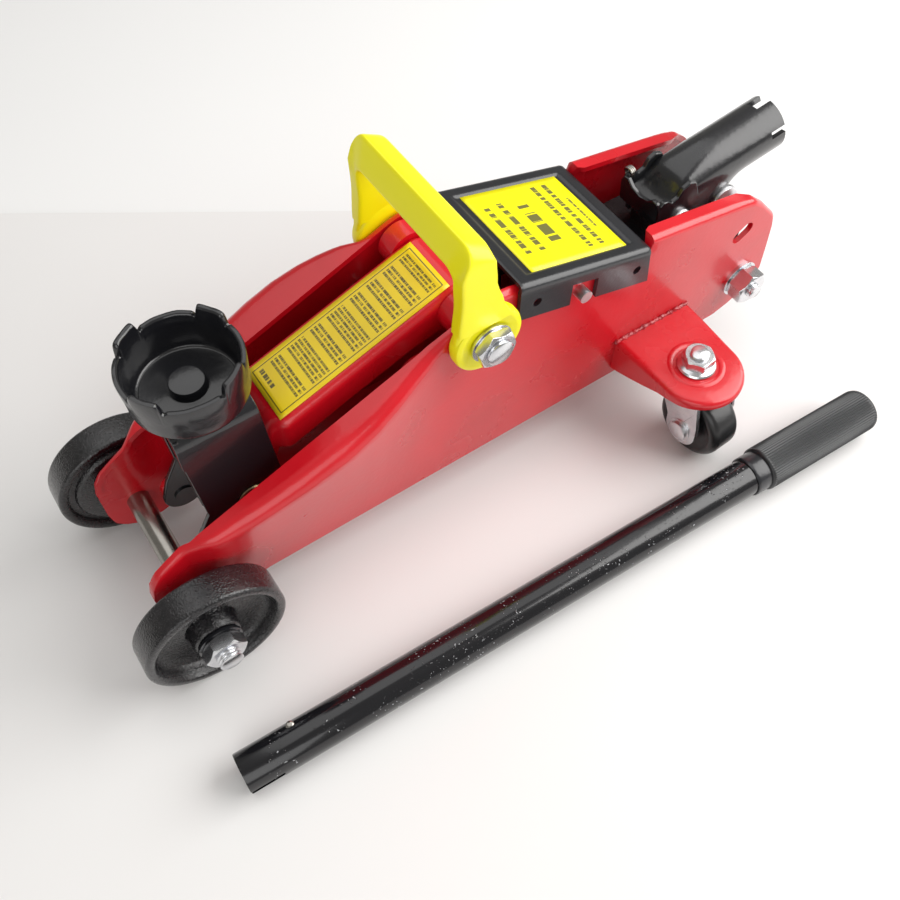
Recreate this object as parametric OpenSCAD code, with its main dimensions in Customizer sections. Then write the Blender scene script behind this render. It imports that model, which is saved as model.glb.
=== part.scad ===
// Compact hydraulic floor jack with its loose pumping handle, millimetres.
// Front axle to the left, handle socket to the right, +Z up.

/* [Wheels and axle] */
// Radius of the front wheels
wheel_r = 31; // [28:0.5:34]
// Width of a front wheel
wheel_w = 14.9; // [12:0.1:17]
// Inner face of a front wheel from the centre plane
wheel_in = 37.3; // [36:0.1:40]
// Radius of the front axle rod
axle_r = 5.2; // [4:0.1:6]

/* [Frame] */
// Outer face of the side plates from the centre plane
web_out = 30; // [28:0.5:33]
// Thickness of the side plate sheet
web_t = 3; // [2:0.1:4]
// Height of the straight bottom edge of the side plates
web_low = 22; // [18:1:26]
// Greatest outward bow of the front flange
bow_out = 42; // [38:0.5:48]
// Slope of the front flange, degrees
front_slope = 21.3; // [18:0.1:25]
// Thickness of the cover sheet
cover_t = 2.2; // [1.5:0.1:3]

/* [Lifting gear] */
// Pivot of the lift arm along the frame
piv_x = 140; // [135:0.5:145]
// Pivot of the lift arm above the floor
piv_z = 114; // [110:0.5:118]
// Radius of the lift pivot shaft
shaft_r = 6; // [5:0.1:7]
// Saddle pin along the frame
pin_x = 39.5; // [37:0.5:42]
// Saddle pin above the floor
pin_z = 60; // [57:0.5:63]
// Outer half width of the lift arm
arm_half = 17.5; // [16:0.1:19]
// Roller lever length on the lift arm
lever = 30; // [28:0.5:34]
// Radius of the ram roller
roll_r = 9; // [8:0.1:10]
// Height of the ram centre line
ram_z = 68; // [64:0.5:72]

/* [Saddle] */
// Saddle centre along the frame
cup_x = 32.9; // [30:0.1:36]
// Outer radius of the saddle cup
cup_r = 23.2; // [20:0.1:26]
// Height of the seat
seat_z = 125; // [120:0.5:130]

/* [Socket and handle] */
// Pivot of the handle socket along the frame
sock_x = 265.6; // [262:0.1:270]
// Pivot of the handle socket above the floor
sock_z = 91; // [88:0.5:94]
// Slope of the socket tube, degrees
sock_slope = 9; // [0:0.5:16]
// Bore radius of the handle socket
sock_in = 10; // [9.3:0.1:10.5]
// Radius of the handle tube
bar_r = 9; // [8:0.1:10]
// Length of the whole handle
bar_len = 341; // [330:1:360]

/* [Casters] */
// Swivel axis along the frame
cast_x = 246; // [240:0.5:252]
// Swivel axis from the centre plane
cast_y = 61.6; // [58:0.1:66]
// Caster wheel radius
cast_r = 18.5; // [16:0.1:19]
// Caster trail
trail = 11; // [9:0.5:11.5]

/* [Hidden] */
shift_x = -148.65;
shift_y = 18.4;
red = [0.78, 0.04, 0.07];
black = [0.06, 0.06, 0.07];
yellow = [0.98, 0.93, 0.02];
zinc = [0.72, 0.73, 0.75];
$fn = 64;
axle_z = wheel_r;
wheel_far = wheel_in + wheel_w;
web_in = web_out - web_t;
rise = tan(front_slope);
roll_x = piv_x + lever * cos(45);
roll_z = piv_z - lever * sin(45);
ear_x = 18;
ear_z = 37;
stub_x = ear_x + piv_x - pin_x;
stub_z = ear_z + piv_z - pin_z;
bar_yaw = -2.26;

// points of an arc, degrees
function arc(cx, cz, r, a0, a1, n = 8) =
  [for (i = [0 : n]) [cx + r * cos(a0 + (a1 - a0) * i / n), cz + r * sin(a0 + (a1 - a0) * i / n)]];

// a side outline drawn in x and z, t thick, centred on y
module slab(y, t) translate([0, y + t / 2, 0]) rotate([90, 0, 0]) linear_extrude(t) children();
// a round bar along y between two values of y
module bar_y(x, z, r, y0, y1) translate([x, y0, z]) rotate([-90, 0, 0]) cylinder(h = y1 - y0, r = r);
// the same on both sides of the centre plane
module both() { children(); mirror([0, 1, 0]) children(); }
// a hexagon along y, across flats af
module hex_y(x, z, af, y0, y1) translate([x, y0, z]) rotate([-90, 0, 0])
  cylinder(h = y1 - y0, r = af / sqrt(3), $fn = 6);
module ring_y(x, z, r, bore, y0, y1) difference() {
  bar_y(x, z, r, y0, y1);
  bar_y(x, z, bore, y0 - 1, y1 + 1);
}
module nut_y(x, z, af, bore, y0, y1) difference() {
  hex_y(x, z, af, y0, y1);
  bar_y(x, z, bore, y0 - 1, y1 + 1);
}

// ---- frame ----
module web_outline() polygon(concat(
  [[293, 23], [33, web_low]], arc(3, 28, 16, -75, -180), arc(1, 50, 14, 180, 110),
  [[11, 72.2], [131, 72.2 + 120 * rise], [142, 124.6], [151, 124.4], [157, 123.2], [231, 103.9],
   [232.5, 108.6]], arc(291, 83.6, 16, 85, 45), [[315, 81]], arc(309, 44, 10, 0, -60)));
// bowed front flange seen square to its own slope
module flange_outline() polygon([for (p = [[11, web_in + 1], [11, 34.6], [15, 36.6], [35, 39.4], [55, 41.2],
  [75, bow_out], [88, 41], [100, 38.4], [110, 35.6], [118, 33.4], [123, 32.4], [134, 32], [134, web_in + 1]])
  [(p[0] - 11) / cos(front_slope), p[1]]]);
module plate(s) color(red) difference() {
  union() {
    slab(s * (web_out - web_t / 2), web_t) web_outline();
    mirror([0, s < 0 ? 1 : 0, 0]) {
      translate([11, 0, 73]) rotate([0, -front_slope, 0]) translate([0, 0, -web_t])
        linear_extrude(web_t) flange_outline();
      translate([236, 22, 109.4]) rotate([0, 9, 0]) translate([0, 0, -2.6]) cube([55, web_out - 23, 2.6]);
    }
  }
  bar_y(0, axle_z, axle_r + 0.05, -60, 60);
  bar_y(piv_x, piv_z, shaft_r + 0.05, -60, 60);
  bar_y(stub_x, stub_z, 4.55, -60, 60);
  bar_y(192.4, 103, 3.05, -60, 60);
  bar_y(303, 45, 4.05, -60, 60);
  slab(0, 90) translate([294, 80]) rotate(40) translate([-2.5, 0]) circle(r = 4);
  slab(0, 90) translate([294, 80]) rotate(40) translate([2.5, 0]) circle(r = 4);
  slab(0, 90) translate([294, 80]) rotate(40) square([5, 8], center = true);
}
module side_plate_near() plate(-1);
module side_plate_far() plate(1);
module base_plate() color(red) translate([48, -26.95, 23.4]) cube([195.5, 53.9, 2.4]);

cover_run = 72.4;
cover_tilt = 14.73;
module cover_frame() translate([160, 0, 125.8]) rotate([0, cover_tilt, 0]) children();
module cover_plate() color(black) difference() {
  union() {
    cover_frame() difference() {
      translate([0, -32.4, -cover_t]) cube([cover_run, 64.8, cover_t]);
      translate([7, -27.5, -0.8]) cube([58.5, 55, 2]);
    }
    both() slab(31.45, 2.3)
      polygon([[160.4, 124.9], [229.6, 106.7], [231.2, 87.6], [229, 86.4], [161, 104.5], [159.2, 107]]);
  }
  for (p = [[168, 112.8], [222.8, 99]]) bar_y(p[0], p[1], 2, -40, 40);
  slab(0, 90) polygon([[186.5, 112], [186.5, 90], [200, 90], [200, 110]]);
}
module cover_label() color(yellow) cover_frame()
  translate([10.5, -26, -0.8]) cube([52.5, 52, 0.4]);

module front_axle() color(zinc) difference() {
  bar_y(0, axle_z, axle_r, -64.5, 64.5);
  both() translate([0, 64.5, axle_z]) rotate([90, 0, 0]) cylinder(h = 1, r = 1.2);
}
module axle_spacers() color(black) both() ring_y(0, axle_z, 9, axle_r, web_out, wheel_in - 0.4);
module axle_washers() color(zinc) both() ring_y(0, axle_z, 9.6, axle_r, wheel_far + 0.4, wheel_far + 1.6);
module axle_nuts() color(zinc) both() nut_y(0, axle_z, 16, axle_r, wheel_far + 1.6, wheel_far + 8.2);

module wheel_profile() polygon(concat(
  [[axle_r + 0.08, 0], [22.5, 0], [23.5, 2.2], [26.5, 2.2], [27.2, 0.2]],
  arc(wheel_r - 1.4, 1.4, 1.4, -90, 0, 4), arc(wheel_r - 1.4, wheel_w - 1.4, 1.4, 0, 90, 4),
  [[27.4, wheel_w], [26.4, 9.2], [24.5, 7], [11.2, 6.4], [10.5, 7.4], [10.2, 14.2], [9.4, 14.8],
   [axle_r + 0.08, 14.8]]));
module front_wheel_far() color(black) translate([0, wheel_in, axle_z]) rotate([-90, 0, 0])
  rotate_extrude($fn = 96) wheel_profile();
module front_wheel_near() mirror([0, 1, 0]) front_wheel_far();

module lift_shaft() color(zinc) bar_y(piv_x, piv_z, shaft_r, -47.5, 47.5);
module lift_shaft_washers() color(zinc) both() ring_y(piv_x, piv_z, 9.2, shaft_r, 39.6, 40.6);
module lift_shaft_nuts() color(zinc) both() nut_y(piv_x, piv_z, 16, shaft_r, 40.6, 45.4);
module tie_rod() color(zinc) bar_y(192.4, 103, 3, -35.4, 35.4);
module rod_stub_pins() color(zinc) both() {
  bar_y(stub_x, stub_z, 4.5, 18.3, 31);
  bar_y(stub_x, stub_z, 6.5, 17.85, 18.45);
  bar_y(stub_x, stub_z, 7, 22.2, web_in);
}

// ---- lift arm ----
arm_tilt = 19.7;
module arm_wall() polygon(concat([[57.4, 79.5], [57.4, 93.6], [136.5, 121.9]],
  arc(piv_x, piv_z, 10.5, 100, -110, 12), [[121, 103], [88, 91]]));
module nose_wall() polygon(concat([[62, 96], [60, 95.3]], arc(pin_x, pin_z, 10.4, 145, 300, 10),
  [[57, 73], [66, 84]]));
module lift_arm() color(red) difference() {
  union() {
    both() slab(arm_half - 1.65, 2.8) arm_wall();
    both() slab(12.3, 3) nose_wall();
    translate([57, 0, 94.4]) rotate([0, -arm_tilt, 0]) rotate([90, 0, 90]) linear_extrude(84.4)
      polygon(concat([[-arm_half, -6], [-14.5, -6], [-14.5, -3], [14.5, -3], [14.5, -6], [arm_half, -6]],
        arc(arm_half - 3, -3, 3, 0, 90, 6), arc(3 - arm_half, -3, 3, 90, 180, 6)));
    translate([56.6, -arm_half + 0.5, 80]) cube([3, 2 * arm_half - 1, 13]);
    translate([40, -13, 70.6]) rotate([0, -52, 0]) translate([0, 0, -2.5]) cube([30, 26, 2.5]);
    bar_y(piv_x, piv_z, 9.5, -15, 15);
    both() slab(7, 4) {
      translate([piv_x, piv_z]) rotate(-45) translate([0, -6.2]) square([lever, 12.4]);
      translate([roll_x, roll_z]) circle(r = 6.5);
    }
  }
  bar_y(pin_x, pin_z, 5.08, -30, 30);
  bar_y(piv_x, piv_z, shaft_r + 0.08, -30, 30);
  bar_y(roll_x, roll_z, 3.02, -30, 30);
}
module arm_label() color([0.93, 0.78, 0.06]) translate([60.5, -14.4, 95.68]) rotate([0, -arm_tilt, 0])
  cube([79, 28.8, 0.3]);
module pivot_tubes() color(red) both() ring_y(piv_x, piv_z, 10, shaft_r + 0.08, arm_half, web_in - 0.5);
module ram_roller() color(zinc) ring_y(roll_x, roll_z, roll_r, 3.08, -4.6, 4.6);
module roller_pin() color(zinc) bar_y(roll_x, roll_z, 3, -9.4, 9.4);

// ---- saddle ----
module bracket_leg() polygon(concat(
  [[17.2, 116.8], [51.2, 116.8], [53.9, 68], [53, 57], [40, 46]],
  arc(ear_x, ear_z, 9.3, -50, -200, 10), [[12.6, 50], [19.6, 62]]));
module saddle_bracket() color(black) difference() {
  union() {
    both() slab(15.95, 2.5) bracket_leg();
    translate([17.4, -16.9, 113.9]) cube([33.6, 33.8, 2.7]);
    both() translate([18.2, 6.5, 115.8]) rotate([0, 90, 0]) linear_extrude(2.4)
      polygon([[0, 0], [40, 0], [48, 9], [0, 9]]);
  }
  bar_y(pin_x, pin_z, 5.03, -30, 30);
  bar_y(ear_x, ear_z, 4.53, -30, 30);
  translate([cup_x, 0, 100]) cylinder(h = 30, r = 6.08);
}
module saddle_pin() color([0.82, 0.66, 0.25]) {
  bar_y(pin_x, pin_z, 5, -18.2, 18.2);
  both() bar_y(pin_x, pin_z, 7, 17.2, 18.2);
}
module rod_pins() color(black) both() {
  bar_y(ear_x, ear_z, 4.5, 13.9, 23.4);
  bar_y(ear_x, ear_z, 6.6, 22.2, 23.4);
}
module saddle_cup() color(black) translate([cup_x, 0, 0]) {
  rotate_extrude($fn = 96) polygon(concat([[0, 105.5], [6, 105.5], [6, 117.1], [18, 117.1]],
    arc(18.4, 121.3, 4.2, -80, 0, 6), [[cup_r, 136.3], [cup_r - 2.6, 136.3], [cup_r - 3.2, 122.4],
    [18.8, 120.9], [7.3, 120.9], [7.3, seat_z], [0, seat_z]]));
  for (a = [17.5, 107.5, 197.5, 287.5]) rotate([0, 0, a]) rotate_extrude(angle = 31, $fn = 96)
    translate([cup_r - 2.6, 136.3]) square([2.6, 4.1]);
}
module saddle_clip() color(zinc) translate([cup_x, 0, 109.4]) difference() {
  cylinder(h = 1.6, r = 9.5);
  translate([0, 0, -1]) cylinder(h = 4, r = 6);
}
rod_ang = atan((stub_z - ear_z) / (stub_x - ear_x));
rod_l = norm([stub_x - ear_x, stub_z - ear_z]);
module radius_rods() color(red) both() slab(20.3, 3) difference() {
  union() {
    translate([ear_x, ear_z]) circle(r = 8.6);
    translate([stub_x, stub_z]) circle(r = 8.6);
    translate([ear_x, ear_z]) rotate(rod_ang) translate([0, -7.6]) square([rod_l, 15.2]);
  }
  translate([ear_x, ear_z]) circle(r = 4.8);
  translate([stub_x, stub_z]) circle(r = 4.58);
}

// ---- carrying handle ----
module bail_line(h, top, r) polygon(concat([[h, 118], [h, top - r]], arc(h - r, top - r, r, 0, 90, 10),
  arc(r - h, top - r, r, 90, 180, 10), [[-h, 118]]));
module carry_handle() color(yellow) difference() {
  union() {
    translate([125.5, 0, 0]) rotate([90, 0, 90]) linear_extrude(15) difference() {
      bail_line(39.4, 167, 8);
      translate([0, -1]) bail_line(32.8, 154.5, 5);
    }
    both() slab(36.1, 6.6) {
      translate([piv_x, piv_z]) circle(r = 15.5);
      polygon([[128, 119], [153, 122], [147, 131], [142.2, 143], [139, 151], [128, 151]]);
    }
  }
  bar_y(piv_x, piv_z, shaft_r + 0.08, -60, 60);
}

// ---- hydraulics ----
module main_cylinder() color(black) translate([182, 0, ram_z]) rotate([0, 90, 0]) difference() {
  cylinder(h = 62, r = 14);
  translate([0, 0, -1]) cylinder(h = 62, r = 10.5);
}
module gland_nut() color(zinc) translate([177.2, 0, ram_z]) rotate([0, 90, 0]) difference() {
  union() {
    cylinder(h = 4.8, r = 15.5, $fn = 6);
    cylinder(h = 9, r = 10.5);
  }
  translate([0, 0, -1]) cylinder(h = 20, r = 7.08);
}
module ram_rod() color(zinc) translate([176.4, 0, ram_z]) rotate([0, 90, 0]) {
  cylinder(h = 65.6, r = 7);
  translate([0, 0, 59.1]) cylinder(h = 6.5, r = 10.42);
}
module ram_crosshead() color(zinc) translate([171.4, -4.3, 60.5]) cube([5, 8.6, 40.5]);
module pump_block() color(black) difference() {
  union() {
    translate([244, -24, 40]) cube([56, 48, 37]);
    translate([258.4, -9.4, 76]) cube([14.4, 18.8, 15]);
    bar_y(sock_x, sock_z, 7.2, -9.4, 9.4);
    translate([296, -web_in, 38]) cube([14, 2 * web_in, 14]);
  }
  bar_y(sock_x, sock_z, 4.08, -20, 20);
  bar_y(303, 45, 4.05, -40, 40);
  translate([sock_x + 28.1, 0, 30]) cylinder(h = 60, r = 4.58);
  translate([sock_x + 28.1, 0, 66]) cylinder(h = 20, r = 9);
  translate([290, 14, 58]) rotate([0, 90, 0]) cylinder(h = 20, r = 3.58);
}
module filler_plug() color(zinc) translate([256, -17, 77]) {
  cylinder(h = 3, r = 5, $fn = 6);
  cylinder(h = 1, r = 6);
}
module pump_plunger() color(zinc) translate([sock_x + 28.1, 0, 0]) {
  translate([0, 0, 42]) cylinder(h = 38, r = 4.5);
  translate([0, 0, 79.7]) cylinder(h = 3, r = 7.4);
}
module plunger_spring() color(zinc) translate([sock_x + 28.1, 0, 66]) difference() {
  cylinder(h = 13.2, r = 7.2);
  for (i = [0 : 4]) translate([0, 0, 1.4 + i * 2.6]) difference() {
    cylinder(h = 1.2, r = 9);
    translate([0, 0, -1]) cylinder(h = 4, r = 6.1);
  }
  translate([0, 0, -1]) cylinder(h = 20, r = 5.4);
}
module release_valve() color(zinc) translate([0, 14, 58]) {
  translate([291, 0, 0]) rotate([0, 90, 0]) cylinder(h = 25, r = 3.5);
  translate([310.4, 0, 0]) rotate([0, 90, 0]) cylinder(h = 6, r = 6.5, $fn = 6);
}
module rear_bolts() color(zinc) both() bar_y(303, 45, 4, 14, 43.5);
module rear_washers() color(zinc) both() ring_y(303, 45, 10, 4, web_out, web_out + 1.5);
module rear_nuts() color(zinc) both() nut_y(303, 45, 16, 4, web_out + 1.5, web_out + 10.5);

// ---- casters ----
module caster_bracket(s) color(red) mirror([0, s < 0 ? 1 : 0, 0]) difference() {
  union() {
    translate([0, 0, 45]) linear_extrude(3)
      polygon(concat([[cast_x - 23, web_out], [cast_x + 22, web_out]], arc(cast_x, 65, 21, -20, 200, 16)));
    for (x = [cast_x - 22.5, cast_x + 19.2]) translate([x, 0, 0]) rotate([90, 0, 90]) linear_extrude(2.8)
      polygon([[web_out, 33.6], [web_out + 8, 35.4], [web_out + 22, 40.9], [web_out + 22, 46], [web_out, 46]]);
    translate([cast_x - 23, web_out, 36]) cube([45, 1.2, 10]);
  }
  translate([cast_x, cast_y, 40]) cylinder(h = 20, r = 5.08);
}
module caster_bracket_near() caster_bracket(-1);
module caster_bracket_far() caster_bracket(1);
// wheel axis along local y, trail along local x
module cast_at(s) translate([cast_x, s * cast_y, 0]) rotate([0, 0, s < 0 ? -87 : 30]) children();
module caster_fork(s) color(zinc) cast_at(s) difference() {
  union() {
    translate([0, 0, 40.8]) cylinder(h = 3.9, r = 13);
    cylinder(h = 18, r = 5);
    translate([0, 0, 40]) cylinder(h = 18, r = 5);
    both() slab(10.8, 2.5) polygon(concat([[12.5, 40.9], [-6, 40.9], [-5, 34]],
      arc(trail, cast_r, 8, 200, 360, 8)));
    translate([-6, -12, 38.6]) cube([18.5, 24, 2.3]);
  }
  translate([0, 0, -1]) cylinder(h = 39.6, r = 7);
  bar_y(trail, cast_r, 3.55, -20, 20);
}
module caster_fork_near() caster_fork(-1);
module caster_fork_far() caster_fork(1);
module swivel_nut(s) color(zinc) translate([cast_x, s * cast_y, 48.3]) difference() {
  union() {
    cylinder(h = 6.5, r = 8.1, $fn = 6);
    cylinder(h = 1.6, r = 9.8);
  }
  translate([0, 0, -1]) cylinder(h = 20, r = 5);
}
module swivel_nut_near() swivel_nut(-1);
module swivel_nut_far() swivel_nut(1);
module caster_axle(s) color(zinc) cast_at(s) {
  bar_y(trail, cast_r, 3.5, -14.6, 14.6);
  both() bar_y(trail, cast_r, 6.2, 12.05, 14.6);
}
module caster_axle_near() caster_axle(-1);
module caster_axle_far() caster_axle(1);
module caster_wheel(s) color(black) cast_at(s) translate([trail, -8.6, cast_r]) rotate([-90, 0, 0])
  rotate_extrude($fn = 96) polygon(concat([[3.58, 0], [14, 0]], arc(cast_r - 4, 4, 4, -90, 0, 6),
    arc(cast_r - 4, 13.2, 4, 0, 90, 6), [[3.58, 17.2]]));
module caster_wheel_near() caster_wheel(-1);
module caster_wheel_far() caster_wheel(1);

// ---- handle socket ----
module socket_pin() color(zinc) {
  bar_y(sock_x, sock_z, 4, -15.2, 15.2);
  both() bar_y(sock_x, sock_z, 6, 13.3, 15.2);
}
module yoke_wall() polygon(concat([[253.5, 88.5], [251.5, 101.5], [264, 104.8], [266, 111],
  [300, 117.5], [306, 106], [303.6, 95]], arc(sock_x + 28.1, 88.7, 9.3, 10, -90, 8), [[262, 82.2]]));
module along() translate([sock_x, 0, 99.5]) rotate([0, -sock_slope, 0]) rotate([0, 90, 0]) children();
module handle_socket() color(black) difference() {
  union() {
    both() slab(11.5, 3) yoke_wall();
    along() cylinder(h = 61.5, r = 12.6);
    translate([251.6, -13, 95.5]) rotate([0, 8, 0]) cube([2.4, 26, 6]);
  }
  along() translate([0, 0, -30]) cylinder(h = 120, r = sock_in);
  slab(0, 20) polygon([[250, 70], [250, 130], [270, 130], [274, 106], [290, 104], [306, 98], [310, 90],
    [310, 70]]);
  translate([sock_x - 18, -20, 104.4]) cube([20, 40, 20]);
  along() translate([-6, -6, 54]) cube([14, 30, 12]);
  along() translate([-20, -3, 54]) cube([12, 6, 12]);
  bar_y(sock_x, sock_z, 4.08, -30, 30);
  bar_y(sock_x + 28.1, 88.7, 4.03, -30, 30);
}
module socket_roller() color(zinc) ring_y(sock_x + 28.1, 88.7, 5, 4, -9.6, 9.6);
module socket_rivet() color(zinc) {
  bar_y(sock_x + 28.1, 88.7, 4, -16, 16);
  both() bar_y(sock_x + 28.1, 88.7, 7.2, 13, 16);
}
module socket_hook() color(zinc) translate([253.6, 11.4, 105.3]) rotate([0, 90, 0])
  rotate_extrude($fn = 40) translate([2.2, 0]) circle(r = 0.7, $fn = 16);

// ---- loose handle ----
module bar_at() translate([-17.8, -98.4, bar_r]) rotate([0, 0, bar_yaw]) rotate([0, -0.33, 0])
  rotate([0, 90, 0]) children();
module handle_tube() color(black) bar_at() difference() {
  cylinder(h = bar_len - 2, r = bar_r);
  translate([0, 0, -1]) cylinder(h = bar_len, r = 7.6);
  translate([-3.5, -20, -1]) cube([7, 40, 20]);
}
module handle_collar() color(black) bar_at() translate([0, 0, 264]) difference() {
  cylinder(h = 7.8, r = 9.9);
  translate([0, 0, -1]) cylinder(h = 20, r = bar_r);
}
module handle_grip() color(black) bar_at() translate([0, 0, 271.8]) difference() {
  cylinder(h = bar_len - 271.8, r = 11);
  translate([0, 0, -1]) cylinder(h = bar_len - 271.8 - 1, r = bar_r + 0.02);
}

translate([shift_x, shift_y, 0]) {
  side_plate_near();
  side_plate_far();
  base_plate();
  cover_plate();
  cover_label();
  front_axle();
  axle_spacers();
  axle_washers();
  axle_nuts();
  front_wheel_near();
  front_wheel_far();
  lift_shaft();
  lift_shaft_washers();
  lift_shaft_nuts();
  tie_rod();
  rod_stub_pins();
  lift_arm();
  arm_label();
  pivot_tubes();
  ram_roller();
  roller_pin();
  saddle_bracket();
  saddle_pin();
  rod_pins();
  saddle_cup();
  saddle_clip();
  radius_rods();
  carry_handle();
  main_cylinder();
  gland_nut();
  ram_rod();
  ram_crosshead();
  pump_block();
  filler_plug();
  pump_plunger();
  plunger_spring();
  release_valve();
  rear_bolts();
  rear_washers();
  rear_nuts();
  caster_bracket_near();
  caster_bracket_far();
  caster_fork_near();
  caster_fork_far();
  swivel_nut_near();
  swivel_nut_far();
  caster_axle_near();
  caster_axle_far();
  caster_wheel_near();
  caster_wheel_far();
  socket_pin();
  handle_socket();
  socket_roller();
  socket_rivet();
  socket_hook();
  handle_tube();
  handle_collar();
  handle_grip();
}
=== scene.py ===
"""Looks of the compact floor jack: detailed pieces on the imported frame, materials, stage, camera."""
import math

import bmesh
import bpy
from mathutils import Matrix, Vector


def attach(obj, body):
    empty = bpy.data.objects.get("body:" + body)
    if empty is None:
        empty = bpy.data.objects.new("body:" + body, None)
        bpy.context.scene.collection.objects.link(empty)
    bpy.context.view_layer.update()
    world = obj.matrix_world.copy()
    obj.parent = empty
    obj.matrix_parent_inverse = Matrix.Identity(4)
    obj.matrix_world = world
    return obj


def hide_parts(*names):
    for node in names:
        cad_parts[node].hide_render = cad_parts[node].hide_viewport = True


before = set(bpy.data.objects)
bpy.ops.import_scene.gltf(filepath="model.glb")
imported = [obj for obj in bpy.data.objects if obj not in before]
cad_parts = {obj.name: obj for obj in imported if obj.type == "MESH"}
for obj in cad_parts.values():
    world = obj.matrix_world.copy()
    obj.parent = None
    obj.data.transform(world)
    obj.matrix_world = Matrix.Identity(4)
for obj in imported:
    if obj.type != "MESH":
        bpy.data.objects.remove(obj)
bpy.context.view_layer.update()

MM = 0.001
# the jack's own origin is under its front axle, in the row frame
SHIFT = Vector((-148.65, 18.4, 0.0))


def at(x, y, z):
    """A point given in millimetres from the floor under the front axle."""
    return (Vector((x, y, z)) + SHIFT) * MM


def lerp_table(table, x, eased=False):
    """Value at x of a short table of (x, value)."""
    if x <= table[0][0]:
        return table[0][1]
    for (x0, v0), (x1, v1) in zip(table, table[1:]):
        if x <= x1:
            t = (x - x0) / (x1 - x0)
            return v0 + (v1 - v0) * t * (t * (3 - 2 * t) if eased else 1)
    return table[-1][1]


def eased_table(table, x):
    """Like lerp_table, with each step eased."""
    return lerp_table(table, x, True)


def arc(cx, cz, r, a0, a1, n=8):
    """Points of an arc, degrees."""
    steps = [math.radians(a0 + (a1 - a0) * i / n) for i in range(n + 1)]
    return [(cx + r * math.cos(a), cz + r * math.sin(a)) for a in steps]


# ---------------------------------------------------------------- materials
def new_material(name):
    mat = bpy.data.materials.new(name)
    mat.use_nodes = True
    return mat, mat.node_tree, mat.node_tree.nodes["Principled BSDF"]


def add(tree, kind, **sockets):
    node = tree.nodes.new(kind)
    for key, value in sockets.items():
        node.inputs[key.replace("_", " ")].default_value = value
    return node


def coat(bsdf, weight, rough):
    bsdf.inputs["Coat Weight"].default_value = weight
    bsdf.inputs["Coat Roughness"].default_value = rough


def grain(tree, scale, detail=3.0):
    """Noise in the piece's own space."""
    space = tree.nodes.new("ShaderNodeTexCoord")
    noise = add(tree, "ShaderNodeTexNoise", Scale=scale, Detail=detail)
    tree.links.new(space.outputs["Object"], noise.inputs["Vector"])
    return noise.outputs["Fac"]


def ramp(tree, source, stops):
    """Colour from a value, by stops of (place, colour)."""
    node = tree.nodes.new("ShaderNodeValToRGB")
    band = node.color_ramp
    while len(band.elements) < len(stops):
        band.elements.new(0.5)
    for element, (place, colour) in zip(band.elements, stops):
        element.position = place
        element.color = (*colour, 1.0)
    tree.links.new(source, node.inputs["Fac"])
    return node.outputs["Color"]


def base_colour(tree, bsdf, source, stops):
    tree.links.new(ramp(tree, source, stops), bsdf.inputs["Base Color"])


def roughness(tree, bsdf, source, low, high):
    node = add(tree, "ShaderNodeMapRange", To_Min=low, To_Max=high)
    tree.links.new(source, node.inputs["Value"])
    tree.links.new(node.outputs["Result"], bsdf.inputs["Roughness"])


def bump(tree, bsdf, layers):
    """Stacks bumps: (height source, distance in metres, strength)."""
    last = None
    for source, distance, strength in layers:
        node = add(tree, "ShaderNodeBump", Distance=distance, Strength=strength)
        tree.links.new(source, node.inputs["Height"])
        if last:
            tree.links.new(last.outputs["Normal"], node.inputs["Normal"])
        last = node
    tree.links.new(last.outputs["Normal"], bsdf.inputs["Normal"])
    tree.links.new(last.outputs["Normal"], bsdf.inputs["Coat Normal"])


def paint(name, colour, shade, rough, coat_weight=0.6, coat_rough=0.08, peel=0.00012, scale=420):
    """Sprayed paint: slight tone drift, orange peel, settled dust in the gloss."""
    mat, tree, bsdf = new_material(name)
    cloud = grain(tree, 28, 4)
    base_colour(tree, bsdf, cloud, [(0.3, shade), (0.72, colour)])
    roughness(tree, bsdf, cloud, rough * 0.8, rough * 1.3)
    dust = grain(tree, 1500, 2)
    bump(tree, bsdf, [(grain(tree, scale, 2), peel, 0.5), (dust, peel * 0.25, 0.35)])
    coat(bsdf, coat_weight, coat_rough)
    return mat


def pebbled(name, colour, rough, cell, depth, coat_weight=0.5, tint=None):
    """Thick paint on castings: fine pebbles that catch the light, smoother in places."""
    mat, tree, bsdf = new_material(name)
    space = tree.nodes.new("ShaderNodeTexCoord")
    cells = add(tree, "ShaderNodeTexVoronoi", Scale=cell)
    cells.feature = "SMOOTH_F1"
    tree.links.new(space.outputs["Object"], cells.inputs["Vector"])
    wave = grain(tree, cell * 0.2, 3)
    base_colour(tree, bsdf, wave, [(0.35, [c * 0.6 for c in colour]), (0.7, tint or colour)])
    roughness(tree, bsdf, wave, rough * 0.7, rough * 1.4)
    bump(tree, bsdf, [(wave, depth * 0.6, 0.4), (cells.outputs["Distance"], depth, 0.9)])
    coat(bsdf, coat_weight, 0.1)
    return mat


def speckled(name, colour, drop_glint_colour):
    """Dipped tube paint: very dark and glossy, with scattered droplets left in it, bumped and coloured pale
    grey as painted glints.
    """
    mat, tree, bsdf = new_material(name)
    bsdf.inputs["Roughness"].default_value = 0.2
    drops_and_glints = ramp(tree, grain(tree, 900, 1), [(0.67, (0, 0, 0)), (0.73, (1, 1, 1))])
    patches = ramp(tree, grain(tree, 55, 2), [(0.46, (0, 0, 0)), (0.56, (1, 1, 1))])
    both = tree.nodes.new("ShaderNodeMath")
    both.operation = "MULTIPLY"
    tree.links.new(drops_and_glints, both.inputs[0])
    tree.links.new(patches, both.inputs[1])
    # painted glints: the droplets are coloured pale grey, as if catching the light
    base_colour(tree, bsdf, both.outputs["Value"], [(0.2, colour), (0.8, drop_glint_colour)])
    bump(tree, bsdf, [(grain(tree, 90, 2), 0.0003, 0.25), (both.outputs["Value"], 0.0006, 0.9)])
    coat(bsdf, 0.35, 0.06)
    return mat


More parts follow.
